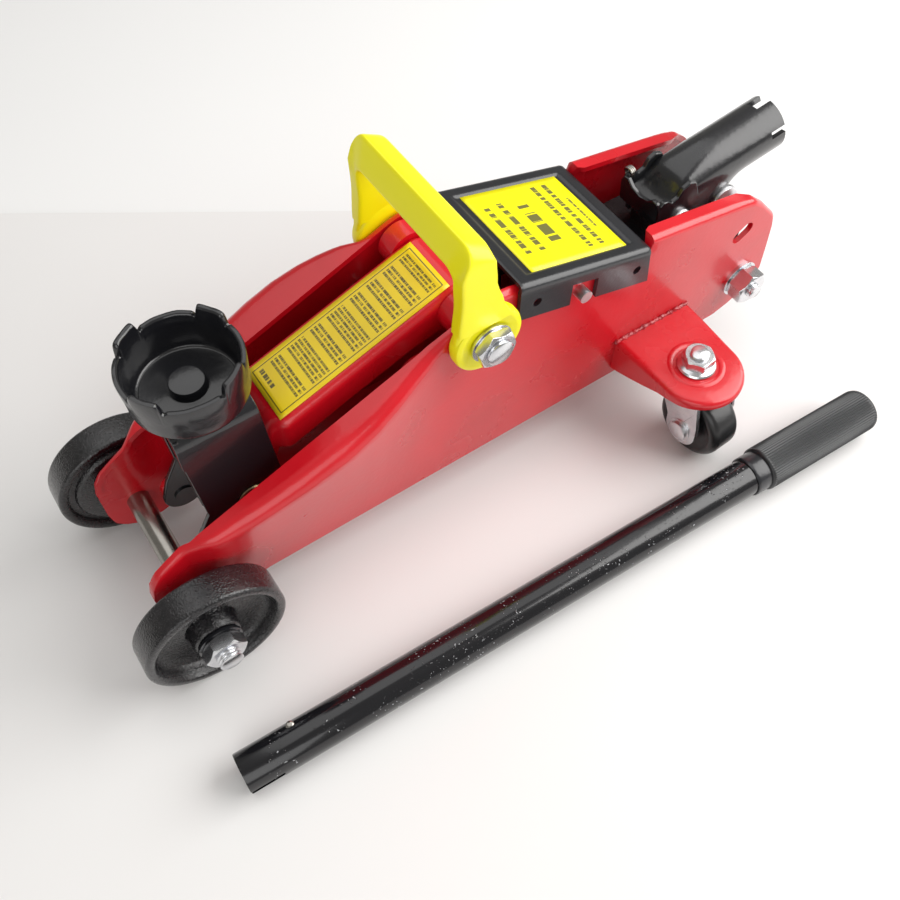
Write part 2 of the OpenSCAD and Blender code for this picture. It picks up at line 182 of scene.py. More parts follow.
def plated(name, colour, stain, rough, scratch):
    """Zinc plate or bare steel: cloudy tone and a fine grain."""
    mat, tree, bsdf = new_material(name)
    cloud = grain(tree, 160, 4)
    base_colour(tree, bsdf, cloud, [(0.3, stain), (0.62, colour)])
    bsdf.inputs["Metallic"].default_value = 1.0
    roughness(tree, bsdf, cloud, rough * 0.9, rough * 1.15)
    bump(tree, bsdf, [(grain(tree, 900, 5), 0.000006, scratch)])
    return mat


def printed(name, colour, shade, ink, blocks, frame_line=False):
    """A sticker. Each block of print is (u from, u to, v from, v to, rows, word scale).

    It holds rows of plain strokes in place of any lettering.
    """
    mat, tree, bsdf = new_material(name)
    cloud = grain(tree, 60, 3)
    ground = ramp(tree, cloud, [(0.3, shade), (0.65, colour)])
    uv = tree.nodes.new("ShaderNodeUVMap")
    split = tree.nodes.new("ShaderNodeSeparateXYZ")
    tree.links.new(uv.outputs["UV"], split.inputs["Vector"])

    def math_node(kind, a, b=0.0):
        node = tree.nodes.new("ShaderNodeMath")
        node.operation = kind
        for i, value in enumerate((a, b)):
            if isinstance(value, (int, float)):
                node.inputs[i].default_value = value
            else:
                tree.links.new(value, node.inputs[i])
        return node.outputs["Value"]

    def within(value, low, high):
        above_low = math_node("GREATER_THAN", value, low)
        return math_node("MULTIPLY", above_low, math_node("LESS_THAN", value, high))

    def box(u0, u1, v0, v1):
        return math_node("MULTIPLY", within(u, u0, u1), within(v, v0, v1))

    u, v = split.outputs["X"], split.outputs["Y"]
    mask = math_node("MULTIPLY", 0.0, 0.0)
    if frame_line:
        mask = math_node("SUBTRACT", box(0.02, 0.98, 0.075, 0.925), box(0.0255, 0.9745, 0.09, 0.91))
    for u0, u1, v0, v1, rows, scale in blocks:
        row = math_node("MULTIPLY", math_node("SUBTRACT", u, u0), rows / (u1 - u0))
        stroke = math_node("LESS_THAN", math_node("FRACT", row), 0.6)
        place = tree.nodes.new("ShaderNodeCombineXYZ")
        tree.links.new(math_node("FLOOR", row), place.inputs["X"])
        tree.links.new(math_node("MULTIPLY", v, scale), place.inputs["Y"])
        words = add(tree, "ShaderNodeTexNoise", Scale=1.7, Detail=2.5, Roughness=0.75)
        tree.links.new(place.outputs["Vector"], words.inputs["Vector"])
        letters = math_node("GREATER_THAN", words.outputs["Fac"], 0.46)
        block = math_node("MULTIPLY", math_node("MULTIPLY", stroke, letters), box(u0, u1, v0, v1))
        mask = math_node("MAXIMUM", mask, block)
    mix = tree.nodes.new("ShaderNodeMix")
    mix.data_type = "RGBA"
    mix.inputs["B"].default_value = (*ink, 1)
    tree.links.new(math_node("MULTIPLY", mask, 0.9), mix.inputs["Factor"])
    tree.links.new(ground, mix.inputs["A"])
    tree.links.new(mix.outputs["Result"], bsdf.inputs["Base Color"])
    roughness(tree, bsdf, cloud, 0.28, 0.42)
    bump(tree, bsdf, [(grain(tree, 140, 2), 0.0001, 0.3)])
    return mat


WELD = pebbled("red weld", (0.5, 0.01, 0.02), 0.3, 900, 0.0006, 0.4)
RED = paint("red paint", (0.66, 0.006, 0.016), (0.55, 0.004, 0.011), 0.27, 0.35, 0.1)
BLACK = paint("black paint", (0.012, 0.0125, 0.015), (0.007, 0.007, 0.009), 0.24, 0.5, 0.12)
SATIN = paint("satin black", (0.014, 0.015, 0.019), (0.009, 0.01, 0.013), 0.3, 0.3, 0.15, 0.00012, 700)
YELLOW = paint("yellow moulding", (0.98, 0.93, 0.0), (0.96, 0.88, 0.0), 0.4, 0.2, 0.2, 0.00005, 300)
PEBBLE = pebbled("pebbled black", (0.007, 0.007, 0.009), 0.25, 1700, 0.00022, 0.45, (0.014, 0.012, 0.014))
CAST = pebbled("cast black", (0.012, 0.012, 0.014), 0.32, 900, 0.0002, 0.3)
TREAD = paint("caster black", (0.011, 0.011, 0.012), (0.007, 0.007, 0.008), 0.34, 0.2, 0.2)
TUBE = speckled("tube black", (0.006, 0.006, 0.008), (0.4, 0.41, 0.43))
RUBBER = pebbled("grip rubber", (0.017, 0.019, 0.022), 0.4, 2600, 0.00003, 0.15)
ZINC = plated("zinc plate", (0.76, 0.77, 0.79), (0.62, 0.63, 0.66), 0.24, 0.3)
BRIGHT = plated("bright rivet", (0.78, 0.78, 0.8), (0.6, 0.6, 0.62), 0.34, 0.3)
STEEL = plated("ground steel", (0.38, 0.36, 0.33), (0.31, 0.295, 0.27), 0.24, 0.3)
GOLD = plated("yellow zinc", (0.62, 0.47, 0.24), (0.36, 0.28, 0.2), 0.3, 0.4)
COVER_BLOCKS = [(0.1, 0.19, 0.2, 0.8, 1, 13), (0.24, 0.33, 0.2, 0.82, 1, 13),
                (0.4, 0.58, 0.24, 0.74, 1, 5), (0.67, 0.75, 0.1, 0.92, 1, 19),
                (0.79, 0.87, 0.1, 0.92, 1, 19), (0.9, 0.94, 0.3, 0.7, 1, 34)]
COVER_PRINT = printed("cover sticker", (0.93, 0.87, 0.0), (0.9, 0.83, 0.0), (0.07, 0.07, 0.04), COVER_BLOCKS)
ARM_ROWS = [(0.12, 0.19), (0.22, 0.33), (0.36, 0.43), (0.46, 0.57), (0.6, 0.67), (0.7, 0.77),
            (0.8, 0.87), (0.9, 0.96)]
ARM_BLOCKS = [(0.05, 0.09, 0.5, 0.86, 1, 15)]
ARM_BLOCKS += [(a, b, 0.13, 0.87, round((b - a) * 42), 40) for a, b in ARM_ROWS]
ARM_PRINT = printed("arm sticker", (0.86, 0.64, 0.01), (0.78, 0.56, 0.008), (0.04, 0.035, 0.015),
                    ARM_BLOCKS, True)
# slot names by material, unless a call names its own; piece() looks them up but keeps nothing
SLOTS = {RED: "red_paint", BLACK: "black_paint", SATIN: "black_paint", TUBE: "black_paint",
         YELLOW: "yellow_paint", PEBBLE: "wheel_black", TREAD: "caster_black", RUBBER: "grip_rubber",
         ZINC: "zinc", BRIGHT: "zinc", GOLD: "yellow_zinc"}


# ---------------------------------------------------------------- mesh helpers
def as_mesh(name, bm):
    """The mesh of a bmesh, which is freed."""
    mesh = bpy.data.meshes.new(name)
    bm.to_mesh(mesh)
    bm.free()
    return mesh


def placed(name, data):
    """A new object in the scene."""
    obj = bpy.data.objects.new(name, data)
    bpy.context.scene.collection.objects.link(obj)
    return obj


def shade(mesh, sharp):
    """Smooth shading, with edges over an angle kept sharp."""
    for polygon in mesh.polygons:
        polygon.use_smooth = True
    mesh.set_sharp_from_angle(angle=math.radians(sharp))


def soften(obj, width, angle):
    """Rounds the edges that are sharper than an angle."""
    soft = obj.modifiers.new("edges", "BEVEL")
    soft.width = width * MM
    soft.segments = 2
    soft.limit_method = "ANGLE"
    soft.angle_limit = math.radians(angle)
    soft.harden_normals = True


def piece(name, bm, material, body, replaces=(), bevel=0.0, angle=32, skin=0.0, slot=None, facing=None,
          smooth=38):
    """Turns a bmesh in millimetres into an object in the row frame. Open sheets face one way."""
    for v in bm.verts:
        v.co = at(*v.co)
    bmesh.ops.remove_doubles(bm, verts=bm.verts, dist=1e-6)
    bmesh.ops.recalc_face_normals(bm, faces=bm.faces)
    if facing and sum(f.normal.dot(Vector(facing)) * f.calc_area() for f in bm.faces) < 0:
        bmesh.ops.reverse_faces(bm, faces=bm.faces)
    mesh = as_mesh(name, bm)
    shade(mesh, smooth)
    obj = placed(name, mesh)
    mesh.materials.append(material)
    if skin:
        solid = obj.modifiers.new("skin", "SOLIDIFY")
        solid.thickness = skin * MM
        solid.offset = -1
        solid.use_even_offset = True
        solid.use_quality_normals = True
    if bevel:
        soften(obj, bevel, angle)
    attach(obj, body)
    if replaces:
        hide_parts(*replaces)
    slot = slot or SLOTS.get(material)
    return obj


def prism(outline, holes, w0, w1, place):
    """A flat plate between two levels, with holes."""
    bm = bmesh.new()
    rings, edges = [], []
    for ring in [outline] + list(holes):
        verts = [bm.verts.new(place(u, v, w0)) for u, v in ring]
        edges += [bm.edges.new((a, b)) for a, b in zip(verts, verts[1:] + verts[:1])]
        rings.append(verts)
    if holes:
        bmesh.ops.triangle_fill(bm, use_beauty=True, use_dissolve=False, edges=edges)
    else:
        bm.faces.new(rings[0])
    lift = Vector(place(0, 0, w1)) - Vector(place(0, 0, w0))
    top = {v: bm.verts.new(v.co + lift) for ring in rings for v in ring}
    for face in list(bm.faces):
        bm.faces.new([top[v] for v in reversed(face.verts)])
    for ring in rings:
        for a, b in zip(ring, ring[1:] + ring[:1]):
            bm.faces.new((a, b, top[b], top[a]))
    return bm


def on_side(u, v, w):
    """Outline drawn in x and z, thickness along y."""
    return (u, w, v)


def turned(profile, centre, axis="y", steps=72, closed=True):
    """A profile of (radius, distance along the axis) turned round it. Closed profiles make a solid."""
    bm = bmesh.new()
    cx, cy, cz = centre
    rows = []
    for i in range(steps):
        a = 2 * math.pi * i / steps
        c, s = math.cos(a), math.sin(a)
        if axis == "y":
            row = [(cx + r * c, cy + d, cz + r * s) for r, d in profile]
        elif axis == "z":
            row = [(cx + r * c, cy + r * s, cz + d) for r, d in profile]
        else:
            row = [(cx + d, cy + r * c, cz + r * s) for r, d in profile]
        rows.append([bm.verts.new(p) for p in row])
    count = len(profile)
    for i in range(steps):
        near, far = rows[i], rows[(i + 1) % steps]
        for j in range(count if closed else count - 1):
            k = (j + 1) % count
            if profile[j][0] < 1e-4 and profile[k][0] < 1e-4:
                continue
            bm.faces.new((near[j], far[j], far[k], near[k]))
    bmesh.ops.remove_doubles(bm, verts=bm.verts, dist=1e-4)
    bmesh.ops.dissolve_degenerate(bm, edges=bm.edges, dist=1e-4)
    return bm


def grid(rows, wrap=False):
    """A surface through rows of points."""
    bm = bmesh.new()
    verts = [[bm.verts.new(p) for p in row] for row in rows]
    for a, b in zip(verts, verts[1:]):
        last = len(a) if wrap else len(a) - 1
        for j in range(last):
            k = (j + 1) % len(a)
            bm.faces.new((a[j], a[k], b[k], b[j]))
    return bm


def join(*parts):
    """One bmesh from several."""
    whole = bmesh.new()
    for part in parts:
        mesh = as_mesh("part", part)
        whole.from_mesh(mesh)
        bpy.data.meshes.remove(mesh)
    return whole


def shaft(r, y0, y1, centre, chamfer=0.6, axis="y", bore=0.0):
    """A round bar with chamfered ends."""
    inner = [(bore, y1), (bore, y0)] if bore else [(0, y1), (0, y0)]
    profile = [(r - chamfer, y0), (r, y0 + chamfer), (r, y1 - chamfer), (r - chamfer, y1)] + inner
    return turned(profile, centre, axis)


def thread(r, y0, y1, centre, pitch=1.5, axis="y"):
    """A threaded stud end drawn as close rings."""
    count = max(2, int(abs(y1 - y0) / pitch))
    step = (y1 - y0) / count
    profile = [(0, y0)]
    for i in range(count):
        a = y0 + i * step
        profile += [(r - 0.75, a + 0.05 * step), (r, a + 0.45 * step), (r, a + 0.6 * step)]
    profile += [(r - 1.0, y1), (0, y1)]
    return turned(profile, centre, axis, 48)


def hexagon(flats, y0, y1, centre, axis="y", bore=0.0, turn=0.0):
    """A nut: six flats, with the corners turned off by a cone on both faces."""
    flat, height, steps = flats / 2, y1 - y0, 96
    rise = [0, 0.12, 0.26, 0.4, 0.54, 0.68, 0.84, 1.0]
    levels = [(d, flat * 0.965 + d * 1.5) for d in rise]
    levels += [(height - d, flat * 0.965 + d * 1.5) for d in reversed(rise)]
    rim = bore if bore else 0.3
    rings = [[(rim, 0.0)] * steps]
    for d, cone in levels:
        sides = [(2 * math.pi * i / steps + math.pi / 6) % (math.pi / 3) - math.pi / 6
                 for i in range(steps)]
        rings.append([(min(cone, flat / math.cos(side)), d) for side in sides])
    rings.append([(rim, height)] * steps)
    bm = bmesh.new()
    verts = []
    cx, cy, cz = centre
    for ring in rings:
        row = []
        for i, (r, d) in enumerate(ring):
            a = 2 * math.pi * i / steps + turn
            c, s = r * math.cos(a), r * math.sin(a)
            spot = {"y": (cx + c, cy + y0 + d, cz + s), "z": (cx + c, cy + s, cz + y0 + d),
                    "x": (cx + y0 + d, cy + c, cz + s)}[axis]
            row.append(bm.verts.new(spot))
        verts.append(row)
    verts.append(verts[0])
    for a, b in zip(verts, verts[1:]):
        for i in range(steps):
            k = (i + 1) % steps
            bm.faces.new((a[i], a[k], b[k], b[i]))
    return bm


def bead(points, r, name, material, body, lump=0.0):
    """A tube through points: springs, hooks and weld beads."""
    bm = bmesh.new()
    rows = []
    count = len(points)
    up = Vector((0.31, 0.17, 0.93))
    for i, p in enumerate(points):
        p = Vector(p)
        ahead = Vector(points[min(i + 1, count - 1)]) - Vector(points[max(i - 1, 0)])
        side = ahead.cross(up).normalized()
        top = side.cross(ahead).normalized()
        swell = r * (1 + lump * math.sin(i * 2.1) * math.sin(i * 0.7 + 1))
        if i in (0, count - 1):
            swell *= 0.35
        rows.append([bm.verts.new(p + swell * (math.cos(a) * side + math.sin(a) * top))
                     for a in (2 * math.pi * j / 12 for j in range(12))])
    for a, b in zip(rows, rows[1:]):
        for j in range(12):
            bm.faces.new((a[j], a[(j + 1) % 12], b[(j + 1) % 12], b[j]))
    bm.faces.new(rows[0])
    bm.faces.new(list(reversed(rows[-1])))
    return piece(name, bm, material, body, smooth=80)


SIDES = (("near", -1), ("far", 1))


def pair(name, shape, material, body, node=None, **look):
    """One piece on each side. The near one also takes the place of a CAD node."""
    for label, s in SIDES:
        replaced = (node,) if node and s < 0 else ()
        piece(name + label, shape(s), material, body, replaced, **look)


def span(s, a, b):
    """The stretch from a to b on one side, lowest first."""
    return sorted((s * a, s * b))


# ---------------------------------------------------------------- side plates
# each table gives (x, value): edge heights, bow of the flange, bend radius, inner edge
TOP_LINE = [(-14.5, 48.0), (-13.0, 54.5), (-9.5, 59.8), (-4.0, 63.6), (2.0, 67.5), (11.0, 73.0),
            (60.0, 92.1), (120.0, 115.5), (131.0, 120.0), (137.0, 123.0), (143.0, 124.9),
            (150.0, 124.9), (157.0, 123.2), (231.0, 103.9), (233.0, 109.6), (262.0, 105.0),
            (289.0, 100.6), (297.0, 98.2), (304.0, 92.6), (315.0, 81.0), (317.5, 62.0), (319.0, 44.0)]
LOW_LINE = [(-14.5, 30.0), (-13.4, 22.0), (-9.6, 17.0), (-4.5, 13.5), (2.0, 12.2), (8.0, 12.8),
            (14.0, 15.0), (24.0, 20.2), (33.0, 22.0), (293.0, 22.6), (303.0, 26.0), (311.0, 31.0),
            (317.0, 38.0), (319.0, 43.0)]
BOW = [(-14.5, 0.0), (4.0, 0.0), (15.0, 6.0), (35.0, 9.4), (55.0, 11.2), (75.0, 11.9), (88.0, 10.9),
       (100.0, 8.4), (110.0, 5.6), (118.0, 3.5), (124.0, 2.5), (136.0, 2.0), (146.0, 1.6), (157.0, 0.2),
       (231.0, 0.0)]
FAR_BOW = [(-14.5, 0.0), (4.0, 0.0), (15.0, 7.0), (35.0, 12.6), (55.0, 16.6), (75.0, 18.6), (88.0, 18.2),
           (100.0, 16.0), (108.0, 13.6), (114.0, 11.2), (119.0, 8.2), (123.0, 4.6), (125.5, 2.7),
           (136.0, 2.0), (146.0, 1.6), (157.0, 0.2), (231.0, 0.0)]
BEND = [(8.0, 3.2), (30.0, 6.0), (70.0, 7.5), (110.0, 6.0), (130.0, 3.2)]
FLANGE_IN = [(-13.0, 28.6), (131.0, 28.6), (150.0, 27.4), (157.0, 26.6), (231.0, 26.6), (234.0, 22.0),
             (290.0, 22.0), (300.0, 26.0), (319.0, 26.6)]
PLATE_HALF = 30


def plate_stations():
    """The places along x at which the plate's section is drawn."""
    nose = [-14.5 + 27.5 * (1 - math.cos(math.radians(a))) / 2 for a in range(0, 180, 9)]
    body = [13 + i * 3.0 for i in range(48)]
    cover = [157.0, 170, 185, 200, 215, 231.0, 233.0]
    rear = [236 + i * 6.0 for i in range(9)] + [290 + i * 1.6 for i in range(18)] + [319.0]
    return sorted(set(nose + [x for x in body if x < 157] + cover + rear))


def side_plate(name, s):
    rows = []
    for x in plate_stations():
        bend = eased_table(BEND, x)
        low, top = lerp_table(LOW_LINE, x), lerp_table(TOP_LINE, x)
        out = PLATE_HALF + lerp_table(BOW if s < 0 else FAR_BOW, x)
        inner = min(lerp_table(FLANGE_IN, x), out - bend - 0.2)
        r = min(bend, (top - low) * 0.3)
        row = [(x, s * (inner + (out - r - inner) * t / 4), top) for t in range(5)]
        row += [(x, s * y, z) for y, z in arc(out - r, top - r, r, 84, 6, 6)]
        for t in range(15):
            k = 1 - t / 14
            y = PLATE_HALF + (out - PLATE_HALF) * k ** 1.35
            row.append((x, s * y, low + (top - r - low) * k))
        rows.append(row)
    return piece(name, grid(rows), RED, "frame", skin=2.6, bevel=0.45, angle=50,
                 facing=(0, s, 0), smooth=50)


def cut(obj, bm):
    """Cuts a hole through a piece and keeps the result as its mesh."""
    for v in bm.verts:
        v.co = at(*v.co)
    bmesh.ops.recalc_face_normals(bm, faces=bm.faces)
    tool = placed("cutter", as_mesh("cutter", bm))
    hole = obj.modifiers.new("hole", "BOOLEAN")
    hole.object = tool
    hole.solver = "EXACT"
    obj.modifiers.move(len(obj.modifiers) - 1, min(1, len(obj.modifiers) - 1))
    soft = [m for m in obj.modifiers if m.type == "BEVEL"]
    for m in soft:
        m.show_viewport = False
    bpy.context.view_layer.update()
    graph = bpy.context.evaluated_depsgraph_get()
    result = bpy.data.meshes.new_from_object(obj.evaluated_get(graph))
    obj.data = result
    for m in [m for m in obj.modifiers if m.type != "BEVEL"]:
        obj.modifiers.remove(m)
    for m in soft:
        m.show_viewport = True
    bpy.data.objects.remove(tool)
    shade(result, 50)


def long_hole(cx, cz, length, width, angle):
    a = math.radians(angle)
    points = arc((length - width) / 2, 0, width / 2, -90, 90, 10)
    points += arc(-(length - width) / 2, 0, width / 2, 90, 270, 10)
    c, s = math.cos(a), math.sin(a)
    return [(cx + u * c - v * s, cz + u * s + v * c) for u, v in points]


for label, s in SIDES:
    plate = side_plate("pressed_plate_" + label, s)
    cut(plate, prism(long_hole(294, 80, 12.4, 7.6, 34), [], s * 20, s * 40, on_side))
    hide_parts("side_plate_" + label)

# ---------------------------------------------------------------- cover
COVER_TILT = math.radians(14.73)
COVER_LONG, COVER_HALF = 72.4, 32.6
# its lower edge, (x, z) at the front and the back
FOOT_FRONT, FOOT_BACK = (159.3, 106.9), (231.3, 87.4)


def on_cover(u, y, lift=0.0):
    """A point of the cover's top: u along its slope from the front edge."""
    return (160 + u * math.cos(COVER_TILT) + lift * math.sin(COVER_TILT), y,
            125.8 - u * math.sin(COVER_TILT) + lift * math.cos(COVER_TILT))


def cover_height(u, y):
    """Raised border round a recessed field."""
    edge = min(u, COVER_LONG - u, COVER_HALF - abs(y))
    rim = 0.0 if edge > 1.2 else -0.3 * (1.2 - edge)
    return rim - 1.0 * eased_table([(5.6, 0.0), (8.0, 1.0)], edge)


def cover():
    rows = []
    us = [0, 0.6, 1.2] + [2 + i * 0.8 for i in range(10)] + [12 + i * 6.0 for i in range(9)]
    us += [62.4 + i * 0.8 for i in range(11)] + [71.2, 71.8, COVER_LONG]
    ys = [0, 6, 12, 18, 22] + [24 + i * 0.7 for i in range(8)]
    bend = 3.0
    for u in sorted(us):
        half = [on_cover(u, y, cover_height(u, y)) for y in ys if y < COVER_HALF - bend]
        skirt = []
        for y, z in arc(COVER_HALF - bend, -bend, bend, 90, 0, 6):
            skirt.append(on_cover(u, y, z + min(0, cover_height(u, 29))))
        foot = [a + (b - a) * u / COVER_LONG for a, b in zip(FOOT_FRONT, FOOT_BACK)]
        x0, z0 = skirt[-1][0], skirt[-1][2]
        for i in range(1, 9):
            k = i / 8
            skirt.append((x0 + (foot[0] - x0) * k, COVER_HALF, z0 + (foot[1] - z0) * k))
        right = half + skirt
        left = [(x, -y, z) for x, y, z in reversed(right)]
        rows.append(left + right[1:])
    return grid(rows)


lid = piece("cover_shell", cover(), SATIN, "frame", skin=2.1, bevel=0.35, angle=50,
            facing=(0, 0, 1), smooth=42)
for x, z in ((168, 112.8), (222.8, 99)):
    cut(lid, prism(arc(x, z, 2.1, 0, 345, 23), [], -40, 40, on_side))
notch = [(186.3, 111.6), (186.0, 85), (200.4, 85), (200.4, 107.6)]
cut(lid, prism(notch, [], -40, 40, on_side))
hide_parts("cover_plate")


def sticker(name, point, size_u, half_y, material, body, node, nu=24, ny=14):
    """A thin sticker with its own flat map, u along the slope and v across."""
    rows = [[point(size_u * i / nu, -half_y + 2 * half_y * j / ny) for j in range(ny + 1)]
            for i in range(nu + 1)]
    bm = grid(rows)
    layer = bm.loops.layers.uv.new("UVMap")
    bm.verts.index_update()
    for face in bm.faces:
        for loop in face.loops:
            i, j = divmod(loop.vert.index, ny + 1)
            loop[layer].uv = (i / nu, j / ny)
    return piece(name, bm, material, body, (node,), skin=0.22, facing=(0, 0, 1), smooth=60)


sticker("cover_sticker", lambda u, y: on_cover(10.2 + u, y, -0.76), 53, 25.6, COVER_PRINT, "frame",
        "cover_label")
ARM_TILT = math.radians(19.7)
sticker("arm_sticker", lambda u, y: (58.9 + u * math.cos(ARM_TILT), y, 95.5 + u * math.sin(ARM_TILT)),
        84.0, 14.2, ARM_PRINT, "arm", "arm_label")

# ---------------------------------------------------------------- front axle and wheels
AXLE = (0, 0, 31)
piece("axle_rod", shaft(5.2, -59, 59, AXLE, 0.3), STEEL, "frame", ("front_axle",), slot="zinc")
pair("axle_thread_", lambda s: thread(5.15, s * 58, s * 64.2, AXLE), ZINC, "frame")
pair("axle_nut_", lambda s: hexagon(16, *span(s, 53.8, 60.2), AXLE, bore=5.0, turn=0.5), ZINC, "frame",
     "axle_nuts", smooth=2)


def front_wheel(label, s):
    profile = [(5.3, 0), (22.0, 0), (22.9, 0.5), (23.6, 2.2), (26.2, 2.4), (27.2, 0.5), (28, 0.1)]
    profile += arc(29.4, 1.7, 1.6, -90, 0, 5) + arc(29.4, 13.2, 1.6, 0, 90, 5)
    profile += [(28.0, 14.9), (27.4, 14.5), (26.8, 13.6), (26.2, 10.4), (25.4, 8.4), (24, 7.2), (22, 6.7),
                (12.6, 6.2), (11.3, 6.8), (10.7, 8.2), (10.3, 13.6), (9.8, 14.4), (9, 14.8), (5.3, 14.8)]
    profile = [(r, s * (37.3 + d)) for r, d in profile]
    piece("dished_wheel_" + label, turned(profile, AXLE, steps=120), PEBBLE, "wheel_" + label,
          ("front_wheel_" + label,), smooth=40)


for label, s in SIDES:
    front_wheel(label, s)

# ---------------------------------------------------------------- lift pivot
PIVOT = (140, 0, 114)
piece("pivot_rod", shaft(6, -43, 43, PIVOT, 0.3), ZINC, "frame", ("lift_shaft",))
pair("pivot_thread_", lambda s: thread(5.9, s * 42, s * 47.3, PIVOT), ZINC, "frame")
pair("pivot_nut_", lambda s: hexagon(16, *span(s, 40.6, 45.4), PIVOT, bore=5.7, turn=0.3), ZINC, "frame",
     "lift_shaft_nuts", smooth=2)

# ---------------------------------------------------------------- lift arm
ARM_TOP = [(29.5, 61.0), (31.0, 65.5), (34.0, 69.0), (39.0, 71.0), (45.0, 76.5), (51.0, 86.0), (55.0, 91.8),
           (58.0, 94.5), (60.8, 95.8), (100.0, 109.8), (134.0, 122.0), (140.0, 123.6), (145.0, 122.4),
           (148.5, 119.4), (150.3, 114.5)]
ARM_LOW = [(29.5, 59.0), (31.0, 54.5), (34.0, 51.2), (39.0, 49.8), (44.0, 50.8), (48.0, 54.5), (52.0, 66.0),
           (56.0, 78.5), (88.0, 91.0), (121.0, 103.0), (131.0, 104.6), (140.0, 104.0), (145.0, 105.2),
           (148.5, 109.0), (150.3, 113.5)]
ARM_HALF = [(55.6, 13.8), (60.5, 17.4), (150.0, 17.4)]


def arm_shell():
    rows = []
    xs = [29.5, 30.2, 31, 32.5, 34, 36.5, 39, 42, 44, 46.5, 49, 51, 53, 55, 56.2, 57.2, 58.2, 59.4, 60.8]
    xs += [64 + i * 5 for i in range(14)] + [131, 134, 137, 140, 142.5, 145, 147, 148.5, 149.6, 150.3]
    for x in xs:
        top, low = lerp_table(ARM_TOP, x), lerp_table(ARM_LOW, x)
        half = eased_table(ARM_HALF, x)
        r = min(4.2, (top - low) * 0.45)
        right = [(y, top) for y in (0, half * 0.35, half * 0.65)]
        right += arc(half - r, top - r, r, 90, 0, 7)
        right += [(half, top - r + (low - top + r) * k / 5) for k in range(1, 6)]
        points = [(-y, z) for y, z in reversed(right)] + right[1:]
        rows.append([(x, y, z) for y, z in points])
    return grid(rows)


piece("arm_channel", arm_shell(), RED, "arm", ("lift_arm",), skin=2.6, bevel=0.4, angle=50,
      facing=(0, 0, 1), smooth=48)
piece("arm_hub", shaft(9.5, -14.7, 14.7, PIVOT, 0.5, bore=6.1), RED, "arm")
ROLLER = (140 + 30 * math.cos(math.pi / 4), 114 - 30 * math.sin(math.pi / 4))
LUG = arc(*ROLLER, 6.5, -135, 45, 14) + arc(140, 114, 6.5, 45, 225, 1)
pair("roller_lug_", lambda s: prism(LUG, [], *span(s, 5, 9), on_side), RED, "arm", bevel=0.6)

# ---------------------------------------------------------------- saddle
CUP = (32.9, 0)


def cup_rim(angle):
    """Four tall torn-looking teeth, each dipping in a notch at its feet."""
    a = (angle - 33 + 45) % 90 - 45
    wobble = 0.22 * math.sin(math.radians(angle * 7)) + 0.12 * math.sin(math.radians(angle * 17))
    side = abs(a)
    if side < 20:
        foot = [(0, 140.1), (9, 140.3), (13.0, 140.2), (14.6, 139.2), (16.0, 135.9), (17.2, 134.9),
                (18.4, 135.2), (20, 136.0)]
        return lerp_table(foot, side) + wobble * (0.5 if side < 14 else 0.2)
    return min(136.5, 136.1 + (side - 20) * 0.03) + wobble * 0.6


def cup_shell():
    rows = []
    for i in range(240):
        angle = i * 1.5
        h = cup_rim(angle)
        flare = (h - 130) * 0.035
        profile = [(0.01, 117.1), (8, 117.1), (17.6, 117.1)] + arc(18.2, 121.7, 4.6, -85, -8, 8)
        profile += [(22.8, 124.5), (23.1, 129), (23.3 + flare * 0.8, h - 0.9), (23.1 + flare * 0.8, h - 0.25),
                    (22.5, h), (21.9, h - 0.1), (21.4, h - 0.5), (21.1, h - 1.2), (20.8, 129), (20.3, 123.2),
                    (19.8, 121.0), (19.2, 120.2), (18.5, 120.0), (18.0, 120.5), (17.2, 120.4), (8.0, 120.4),
                    (7.3, 120.7), (6.95, 121.5), (6.9, 124.2), (6.6, 124.8), (6.0, 125), (0.01, 125)]
        c, s = math.cos(math.radians(angle)), math.sin(math.radians(angle))
        rows.append([(CUP[0] + r * c, r * s, z) for r, z in profile])
    rows.append(rows[0])
    return grid(rows)


piece("saddle_bowl", cup_shell(), BLACK, "cup", ("saddle_cup",), smooth=42)
piece("saddle_stem", shaft(6, 105.5, 117.2, (*CUP, 0), 0.5, "z"), ZINC, "cup")

LEG = [(17.4, 104), (51.5, 104), (53.8, 68), (53.0, 58), (48.5, 51), (38, 45)]
LEG += arc(18, 37, 9.3, -50, -200, 16) + [(12.7, 50), (19.7, 62)]
LIP = [(6.6, 115), (16.0, 115), (16.0, 68.6), (14.2, 68.0), (6.6, 75.2)]
pair("bracket_leg_", lambda s: prism(LEG, [], *span(s, 14.7, 17.14), on_side), BLACK, "bracket",
     "saddle_bracket", bevel=0.7)
pair("bracket_lip_",
     lambda s: prism(LIP, [], 17.4, 19.9, lambda u, v, w: (w + (115 - v) * 0.035, s * u, v)),
     BLACK, "bracket", bevel=0.7)


def bracket_top():
    """The bent roof, whose sides run down over the legs and widen a little to the rear."""
    rows = []
    for x in (17.3, 17.9, 24, 32, 42, 50.2, 50.8):
        right = [(0, 116.7), (5, 116.7)] + arc(10.7, 110.2, 6.5, 90, 0, 8) + [(17.2, 104), (17.2, 98)]
        points = [(-y, z) for y, z in reversed(right)] + right[1:]
        rows.append([(x + (116.7 - z) * 0.056 * (x - 17.3) / 33.5, y, z) for y, z in points])
    return grid(rows)


piece("bracket_roof", bracket_top(), BLACK, "bracket", skin=2.5, bevel=0.4, angle=50,
      facing=(0, 0, 1))
PIN = (39.5, 0, 60)
pin_profile = [(0, -18.9), (3.0, -18.9), (5.6, -18.5), (6.8, -17.9), (6.9, -17.3), (5, -17.2), (5, 17.2),
               (6.9, 17.3), (6.8, 17.9), (5.6, 18.5), (3.0, 18.9), (0, 18.9)]
piece("saddle_pin_turned", turned(pin_profile, PIN), GOLD, "bracket", ("saddle_pin",))

